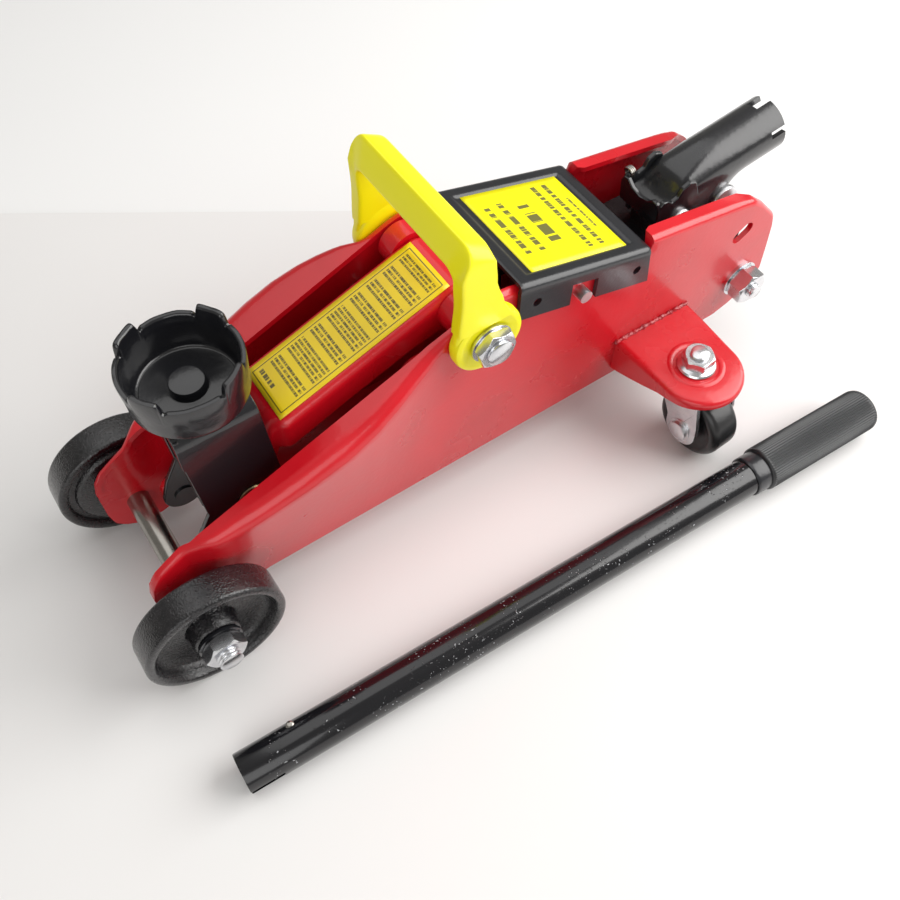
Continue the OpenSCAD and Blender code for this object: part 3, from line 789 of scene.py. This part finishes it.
# ---------------------------------------------------------------- radius rods
ROD_A, ROD_B = (18, 37), (118.5, 91)
ROD_TURN = math.atan2(ROD_B[1] - ROD_A[1], ROD_B[0] - ROD_A[0])


def rod_outline():
    t = math.degrees(ROD_TURN)
    waist = math.degrees(math.asin(7.6 / 8.6))
    front = arc(*ROD_A, 8.6, t + waist, t + 360 - waist, 24)
    return front + arc(*ROD_B, 8.6, t + 180 + waist, t + 540 - waist, 24)


EYES = [arc(*ROD_A, 4.8, 0, 345, 23), arc(*ROD_B, 4.6, 0, 345, 23)]
pair("rod_bar_", lambda s: prism(rod_outline(), EYES, *span(s, 18.8, 21.8), on_side), RED, "rods",
     "radius_rods", bevel=0.5)


# ---------------------------------------------------------------- carrying handle
def squared(value, power):
    """A sine or cosine pushed outwards, for rounded boxes."""
    return math.copysign(abs(value) ** power, value)


def bail_side(half, top, r):
    """One edge of the handle from foot to middle, in y and z."""
    foot = [(half, 124 + (top - r - 124) * i / 8) for i in range(8)]
    across = [((half - r) * (4 - i) / 4, top) for i in range(1, 5)]
    return foot + arc(half - r, top - r, r, 0, 90, 14) + across


def bail():
    """A broad blade bent square over both legs, its top narrow and falling to the rear."""
    right = list(zip(bail_side(39.4, 167, 8), bail_side(32.8, 154.3, 5)))
    path = [((-a[0], a[1]), (-b[0], b[1])) for a, b in right[:-1]] + list(reversed(right))
    rows = []
    for outer, inner in path:
        z = (outer[1] + inner[1]) / 2
        front = eased_table([(124, 125.4), (140, 126.4), (152, 126.0), (160, 125.3)], z)
        rear = eased_table([(124, 150.8), (131, 146.2), (144, 142.0), (154, 141.0), (160, 140.4)], z)
        fall = 5.2 * eased_table([(150, 0.0), (160.5, 1.0)], z)
        ring = []
        for j in range(48):
            t = 2 * math.pi * j / 48
            u = squared(math.cos(t), 0.22)
            k = (squared(math.sin(t), 0.24) + 1) / 2
            lean = fall * k * (1 - u) / 2
            ring.append(((rear + front) / 2 + u * (rear - front) / 2 + lean,
                         inner[0] + (outer[0] - inner[0]) * k,
                         inner[1] + (outer[1] - inner[1]) * k - fall * k * (u + 1) / 2))
        rows.append(ring)
    return grid(rows, wrap=True)


def bail_ring(s):
    body = [(7.8, 32.8), (14.2, 32.8), (15.3, 33.4), (15.8, 34.6), (15.8, 37.4), (15.3, 38.7), (14.2, 39.3),
            (12.6, 39.3), (12.0, 38.9), (6.1, 38.9), (6.1, 32.8)]
    return turned([(r, s * d) for r, d in body], PIVOT, steps=72)


def bail_root(s):
    """The web that grows from the ring into the strap."""
    rows = []
    for z, front, rear in ((110, 125.2, 154.8), (115, 124.7, 155.3), (120, 124.9, 153.4), (124, 125.4, 150.8),
                           (127.5, 125.8, 148.2)):
        ring = []
        for j in range(40):
            t = 2 * math.pi * j / 40
            ring.append(((front + rear) / 2 + squared(math.cos(t), 0.32) * (rear - front) / 2,
                         s * 36.1 + squared(math.sin(t), 0.5) * 2.6, z))
        rows.append(ring)
    return grid(rows, wrap=True)


piece("bail_strap", join(bail(), bail_root(-1), bail_root(1)), YELLOW, "bail", ("carry_handle",), smooth=60)
pair("bail_ring_", bail_ring, YELLOW, "bail", smooth=40)


# ---------------------------------------------------------------- casters
CASTER = (246.0, 61.6)
TRAIL, CASTER_HIGH = 11, 18.5
DROP = [(30, 20.0), (38, 17.5), (50, 12.0), (60, 8.0), (70, 5.5), (86, 4.0)]


def bracket_pan(s):
    """A pressed pan: flat top, rounded edge, skirt deep at the plate and shallow at the tip."""
    outline = [(223.5, 30.2), (223.6, 36), (223.9, 44), (224.4, 52), (224.9, 60)]
    outline += arc(CASTER[0], 64.5, 21, 172, 8, 24)
    outline += [(267.1, 60), (267.6, 52), (268, 44), (268.2, 36), (268.3, 30.2)]
    rows = [[] for k in range(7)]
    for i, (x, y) in enumerate(outline):
        a, b = outline[max(i - 1, 0)], outline[min(i + 1, len(outline) - 1)]
        tx, ty = b[0] - a[0], b[1] - a[1]
        size = math.hypot(tx, ty)
        nx, ny = -ty / size, tx / size
        if i in (0, len(outline) - 1):
            nx, ny = math.copysign(1, nx), 0
        edge = [(9.0, 48.0), (2.6, 48.0), (1.3, 47.7), (0.4, 46.9), (0, 45.8), (0, 45.0)]
        edge.append((0, 48.0 - max(eased_table(DROP, y), 3.2)))
        for k, (inset, z) in enumerate(edge):
            rows[k].append((x - nx * inset, s * (y - ny * inset), z))
    bm = grid(rows)
    bm.faces.new(list(bm.verts)[:len(outline)])
    return bm


def caster(label, s, yaw):
    t = math.radians(yaw)
    lead, side = Vector((math.cos(t), math.sin(t), 0)), Vector((-math.sin(t), math.cos(t), 0))
    hub, fork = (CASTER[0], s * CASTER[1], 0), "fork_" + label
    swivel = Vector(hub)
    spin = swivel + lead * TRAIL + Vector((0, 0, CASTER_HIGH))

    def local(u, v, w):
        """u along the trail, v up, w along the wheel's axle."""
        return tuple(swivel + lead * u + side * w + Vector((0, 0, v)))

    def turned_here(profile, steps=72):
        bm = turned(profile, (0, 0, 0), steps=steps)
        for v in bm.verts:
            v.co = spin + lead * v.co.x + side * v.co.y + Vector((0, 0, v.co.z))
        return bm

    pan = piece("caster_pan_" + label, bracket_pan(s), RED, "frame", ("caster_bracket_" + label,), skin=2.6,
                bevel=0.4, angle=50, facing=(0, 0, 1), smooth=50)
    cut(pan, turned([(0, 40), (5.3, 40), (5.3, 56), (0, 56)], hub, "z", 32))
    ring = [(10.4, 47.9), (11.2, 48.5), (12.8, 48.5), (13.8, 47.9)]
    piece("pan_ring_" + label, turned(ring, hub, "z"), RED, "frame")
    weld = [(222 + i * 1.25, s * 30.5, 47.9 + 0.4 * math.sin(i * 1.9)) for i in range(38)]
    bead(weld, 1.25, "pan_weld_" + label, WELD, "frame", 0.35)
    flange = [(5, 48.3), (9.0, 48.3), (9.4, 48.7), (8.8, 49.5), (7.2, 50.4), (5, 50.4)]
    nut = join(hexagon(13.5, 49.8, 55.4, hub, "z", bore=4.2, turn=0.4 * s), turned(flange, hub, "z"))
    piece("flange_nut_" + label, nut, ZINC, fork, ("swivel_nut_" + label,), smooth=2)
    piece("swivel_stud_" + label, thread(4.3, 48, 57.3, hub, 1.25, "z"), ZINC, fork)
    race = [(5.0, 44.7), (11.8, 44.7), (12.7, 44.1), (13, 43.0), (12.6, 41.8), (10.5, 40.9), (5.0, 40.9)]
    piece("swivel_race_" + label, turned(race, hub, "z"), ZINC, fork, ("caster_fork_" + label,))
    leg = arc(TRAIL, CASTER_HIGH, 9.0, -178, -2, 18)
    leg += [(19.6, 27), (17.4, 36), (16.6, 40.8), (-6.2, 40.8), (-4.6, 33), (1.6, 22)]
    eye = arc(TRAIL, CASTER_HIGH, 3.6, 0, 345, 23)
    for end, w in (("a", -13.2), ("b", 10.7)):
        piece("fork_leg_%s_%s" % (end, label), prism(leg, [eye], w, w + 2.5, local), ZINC, fork, bevel=0.6)
    roof = [(-6.2, -13.2), (16.6, -13.2), (16.6, 13.2), (-6.2, 13.2)]
    piece("fork_roof_" + label, prism(roof, [], 38.6, 40.9, lambda u, v, w: local(u, w, v)), ZINC, fork,
          bevel=0.8)
    head = [(0, 15.5), (4.2, 15.5), (4.9, 15.1), (5.1, 14.4), (5.1, 13.6), (6.2, 13.5), (6.2, 13.2),
            (3.5, 13.2)]
    head += [(r, -d) for r, d in reversed(head)]
    piece("caster_rivet_" + label, turned_here(head), BRIGHT, fork, ("caster_axle_" + label,))
    wheel = [(3.6, -9.2), (7.2, -9.2), (8.0, -8.0), (13.2, -7.8), (14.0, -8.3)]
    wheel += arc(14.6, -4.6, 3.9, -90, 0, 8) + arc(14.6, 4.6, 3.9, 0, 90, 8)
    wheel += [(14.0, 8.3), (13.2, 7.8), (8.0, 8.0), (7.2, 9.2), (3.6, 9.2)]
    piece("caster_tyre_" + label, turned_here(wheel, 96), TREAD, "roll_" + label,
          ("caster_wheel_" + label,), smooth=45)


caster("near", -1, -87)
caster("far", 1, 30)

# ---------------------------------------------------------------- handle socket
SOCKET_SLOPE = math.radians(9)
SOCKET = (265.6, 0, 99.5)
SOCKET_PIVOT, SOCKET_RIVET = (265.6, 0, 91), (293.7, 0, 88.7)
# (u, value) along the tube: how deep the cheeks reach, how far the roof is pressed in
REACH = [(0, 16.0), (18, 18.0), (28, 20.5), (33, 19.0), (38, 13.5), (43, 12.6)]
DENT = [(-10.5, 15.5), (-5, 13.5), (-1, 9.5), (2, 5.0), (6, 3.0), (13, 1.0), (22, 0.0)]


def on_socket(u, y, lift):
    """u along the tube from above the pivot, lift square to it."""
    c, s = math.cos(SOCKET_SLOPE), math.sin(SOCKET_SLOPE)
    return (SOCKET[0] + u * c - lift * s, y, SOCKET[2] + u * s + lift * c)


def socket_shell():
    """The tube opens downwards into two cheeks towards the pivot."""
    rows = []
    us = [-10.5, -9.5, -7.5, -5, -2.5, 0, 1.5, 4, 7, 11, 15, 19, 23, 27, 30, 33, 36, 39, 42, 45, 48, 52,
          53.4, 53.6, 56, 58.5, 60.9, 61.5]
    for u in us:
        opening = 1 - eased_table([(22, 0.0), (43, 1.0)], u)
        reach, dent = eased_table(REACH, u), lerp_table(DENT, u)
        row = []
        for j in range(-24, 25):
            phi = math.pi * abs(j) / 24
            side = math.copysign(1, j) if j else 0
            r = 12.8
            if phi <= math.pi / 2:
                y, z = r * math.sin(phi), r * math.cos(phi)
                z -= dent * max(0.0, math.cos(phi)) ** (1.2 if u < 2 else 3)
            else:
                k = (phi - math.pi / 2) / (math.pi / 2)
                round_y, round_z = r * math.sin(phi), r * math.cos(phi)
                y = round_y * (1 - opening) + 12.9 * opening
                z = round_z * (1 - opening) - reach * k * opening
            row.append(on_socket(u, side * y, z))
        rows.append(row)
    bm = bmesh.new()
    verts = [[bm.verts.new(p) for p in row] for row in rows]
    for i, (a, b) in enumerate(zip(verts, verts[1:])):
        for j in range(48):
            spot = (j + 0.5 - 24) / 24 * 180
            if us[i] >= 53.5 and (-72 < spot < -58 or 0 < spot < 32):
                continue
            bm.faces.new((a[j], a[j + 1], b[j + 1], b[j]))
    return bm


piece("socket_tube", socket_shell(), BLACK, "socket", ("handle_socket",), skin=2.4, bevel=0.35, angle=50,
      facing=(0, 0, 1), smooth=50)
CHEEK = [(252.0, 103.6), (251.8, 96), (254.6, 87.6), (262, 82.4), (276, 81.4), (276, 100), (272.5, 108.6),
         (268.4, 110.2), (264.6, 108.4), (262.6, 104.2), (259.4, 103.0), (256.6, 105.0), (254.0, 105.6)]
FRONT = [(-13, 90.8), (13, 90.8), (13, 102), (11.4, 105.2), (8.4, 105.6), (5.2, 102.6), (0, 101.4),
         (-5.2, 102.6), (-8.4, 105.6), (-11.4, 105.2), (-13, 102)]
pair("socket_cheek_", lambda s: prism(CHEEK, [], *span(s, 10.3, 12.95), on_side), BLACK, "socket",
     bevel=0.8)
piece("socket_front", prism(FRONT, [], 251.2, 253.7, lambda u, v, w: (w + (v - 98) * -0.1, u, v)), BLACK,
      "socket", bevel=0.8)


def dome(y0, r, height, s):
    """A rivet head standing out from a cheek."""
    rise = [(0, -0.5), (r * 0.98, -0.5), (r, 0), (r * 1.01, height * 0.45), (r * 0.97, height * 0.8),
            (r * 0.88, height * 0.97), (0, height)]
    return [(a, s * (y0 + d)) for a, d in rise]


pair("pivot_head_", lambda s: turned(dome(13.3, 5.4, 2.0, s), SOCKET_PIVOT), BRIGHT, "frame",
     "socket_pin")
pair("rivet_head_", lambda s: turned(dome(13.0, 7.4, 2.6, s), SOCKET_RIVET), BRIGHT, "socket",
     "socket_rivet")
piece("pivot_shank", shaft(4, -13.4, 13.4, SOCKET_PIVOT, 0.2), ZINC, "frame")
piece("rivet_shank", shaft(4, -13.1, 13.1, SOCKET_RIVET, 0.2), ZINC, "socket")
coil = [(253.0 + 1.1 * i / 18, 11.4 + 2.4 * math.cos(i * 0.42), 105.6 + 2.4 * math.sin(i * 0.42))
        for i in range(38)]
hook = bead(coil, 0.65, "hook_wire", STEEL, "socket")
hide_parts("socket_hook")


# ---------------------------------------------------------------- loose handle
BAR_YAW, BAR_TILT = math.radians(-2.26), math.radians(0.33)
BAR_START = Vector((-17.8, -98.4, 9.0))


def on_bar(d, a, r):
    """A point d along the loose handle, at angle a round it and radius r."""
    flat = math.cos(BAR_TILT)
    along = Vector((math.cos(BAR_YAW) * flat, math.sin(BAR_YAW) * flat, math.sin(BAR_TILT)))
    side = Vector((-math.sin(BAR_YAW), math.cos(BAR_YAW), 0))
    top = along.cross(side)
    return tuple(BAR_START + along * d + (side * math.cos(a) + top * math.sin(a)) * r)


def bar_turned(profile, steps=72, ribs=0, rib_depth=0.0):
    """A profile of (radius, distance, ribbed or not) turned round the loose handle."""
    bm = bmesh.new()
    rows = []
    for i in range(steps):
        a = 2 * math.pi * i / steps
        rib = 1 - rib_depth * (0.5 - 0.5 * math.cos(a * ribs)) if ribs else 1
        rows.append([bm.verts.new(on_bar(d, a, r * (rib if ribbed else 1))) for r, d, ribbed in profile])
    for a, b in zip(rows, rows[1:] + rows[:1]):
        for j in range(len(profile)):
            k = (j + 1) % len(profile)
            bm.faces.new((a[j], b[j], b[k], a[k]))
    bmesh.ops.remove_doubles(bm, verts=bm.verts, dist=1e-4)
    bmesh.ops.dissolve_degenerate(bm, edges=bm.edges, dist=1e-4)
    return bm


tube_profile = [(8.8, 0.0), (9.0, 0.4), (9.0, 60), (9.0, 150), (9.0, 268), (7.7, 268), (7.7, 0.2), (8.0, 0.0)]
tube = piece("bar_tube", bar_turned([(r, d, False) for r, d in tube_profile], 64), TUBE, "handle")
slot_cut = bmesh.new()
bmesh.ops.create_cube(slot_cut, size=1)
for v in slot_cut.verts:
    v.co = Vector(on_bar(v.co.x * 29, 0, 0)) + Vector((0, v.co.y * 24 - 10, v.co.z * 6.4 - 1.5))
cut(tube, slot_cut)
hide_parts("handle_tube")
button = [(0.01, 9.9), (0.9, 9.8), (1.6, 9.5), (1.9, 8.8), (0.01, 8.6)]
knob = turned(button, (0, 0, 0), "z", 32)
for v in knob.verts:
    v.co = Vector(on_bar(25, 0.95, v.co.z)) + Vector((v.co.x, v.co.y, 0))
piece("bar_button", knob, STEEL, "handle", slot="steel")
collar_profile = [(9.05, 251.6), (9.6, 251.6), (9.85, 252.0), (9.9, 253), (9.9, 259.0), (9.7, 259.8),
                  (9.05, 259.8)]
piece("bar_collar", bar_turned([(r, d + 12.4, False) for r, d in collar_profile]), SATIN, "handle",
      ("handle_collar",))
grip_profile = [(9.1, 272.2, False), (10.2, 272.2, False), (10.9, 272.8, False), (11.0, 273.6, False),
                (11.0, 274.4, True), (11.0, 298, True), (11.0, 320, True), (11.0, 337.2, True),
                (10.9, 338.6, False), (10.5, 339.8, False), (9.6, 340.6, False), (6, 341, False),
                (0.01, 341, False), (0.01, 340, False), (9.1, 340, False)]
piece("bar_grip", bar_turned(grip_profile, 416, 52, 0.055), RUBBER, "handle", ("handle_grip",), smooth=60)

# ---------------------------------------------------------------- rear bolts
REAR = (303, 0, 45)
pair("rear_nut_", lambda s: hexagon(16, *span(s, 31.5, 40.5), REAR, bore=3.9, turn=0.2), ZINC, "frame",
     "rear_nuts", smooth=2)
pair("rear_thread_", lambda s: thread(3.95, s * 30, s * 43.3, REAR, 1.25), ZINC, "frame", "rear_bolts")

# ---------------------------------------------------------------- CAD nodes that stay
KEPT = {
    BLACK: ("axle_spacers", "axle_washers", "rod_pins"),
    BRIGHT: ("tie_rod",),
    CAST: ("main_cylinder", "pump_block"),
    RED: ("pivot_tubes", "base_plate"),
    STEEL: ("ram_roller", "ram_rod", "ram_crosshead", "pump_plunger", "plunger_spring", "socket_roller"),
    ZINC: ("lift_shaft_washers", "rod_stub_pins", "roller_pin", "saddle_clip", "gland_nut", "filler_plug",
           "release_valve", "rear_washers"),
}
for material, nodes in KEPT.items():
    for node in nodes:
        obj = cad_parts[node]
        obj.data.materials.clear()
        obj.data.materials.append(material)
        for polygon in obj.data.polygons:
            polygon.use_smooth = True
        soften(obj, 0.35, 40)

# ---------------------------------------------------------------- stage, light, camera
def stage_material(name, colour, rough):
    mat, tree, bsdf = new_material(name)
    base_colour(tree, bsdf, grain(tree, 3, 3), [(0.35, [c * 0.985 for c in colour]), (0.7, colour)])
    bsdf.inputs["Roughness"].default_value = rough
    return mat


def stage_sheet(name, corners, material):
    bm = bmesh.new()
    bm.faces.new([bm.verts.new(at(*c)) for c in corners])
    obj = placed(name, as_mesh(name, bm))
    obj.data.materials.append(material)


FLOOR = stage_material("floor paper", (0.8, 0.79, 0.785), 0.6)
BACKDROP = stage_material("backdrop", (0.86, 0.86, 0.86), 0.6)
CORNERS = ((-3000, -3000), (3000, -3000), (3000, 3000), (-3000, 3000))
stage_sheet("backdrop", [(x, y, -1.5) for x, y in CORNERS], BACKDROP)
# the far edge of the paper runs behind the jack
EDGE, ALONG, AWAY = Vector((236.1, 128.5, 0)), Vector((0.84, -0.543, 0)), Vector((0.543, 0.84, 0))
stage_sheet("floor", [EDGE - ALONG * 3000, EDGE + ALONG * 3000, EDGE + ALONG * 3000 - AWAY * 3500,
                      EDGE - ALONG * 3000 - AWAY * 3500], FLOOR)

camera = bpy.data.cameras.new("camera")
camera.lens = 38.44
camera.sensor_width = 36
camera.clip_end = 20
eye = placed("camera", camera)
ahead = Vector((0.3094, 0.4433, -0.8413)).normalized()
right = Vector((0.8284, -0.5601, 0.0096)).normalized()
above = right.cross(ahead).normalized()
right = ahead.cross(above).normalized()
turn = Matrix((right, above, -ahead)).transposed()
eye.matrix_world = Matrix.Translation(at(-7.3, -224.5, 403.5)) @ turn.to_4x4()
bpy.context.scene.camera = eye


def area(name, place, target, size, power, colour=(1, 1, 1)):
    lamp = bpy.data.lights.new(name, "AREA")
    lamp.shape = "RECTANGLE"
    lamp.size, lamp.size_y = size
    lamp.energy = power
    lamp.color = colour
    obj = placed(name, lamp)
    obj.location = at(*place)
    obj.rotation_euler = (at(*target) - at(*place)).to_track_quat("-Z", "Y").to_euler()


area("window", (850, -330, 650), (150, 0, 50), (1.0, 0.9), 13, (1.0, 0.99, 0.975))
area("overhead", (150, 350, 1100), (150, 0, 0), (1.2, 1.2), 5)
area("front fill", (-500, -700, 500), (120, 0, 60), (0.8, 0.6), 2.6)

world = bpy.data.worlds.new("studio")
world.use_nodes = True
bpy.context.scene.world = world
world.node_tree.nodes["Background"].inputs["Color"].default_value = (1.0, 0.97, 0.91, 1)
world.node_tree.nodes["Background"].inputs["Strength"].default_value = 0.3
bpy.context.scene.view_settings.view_transform = "Standard"
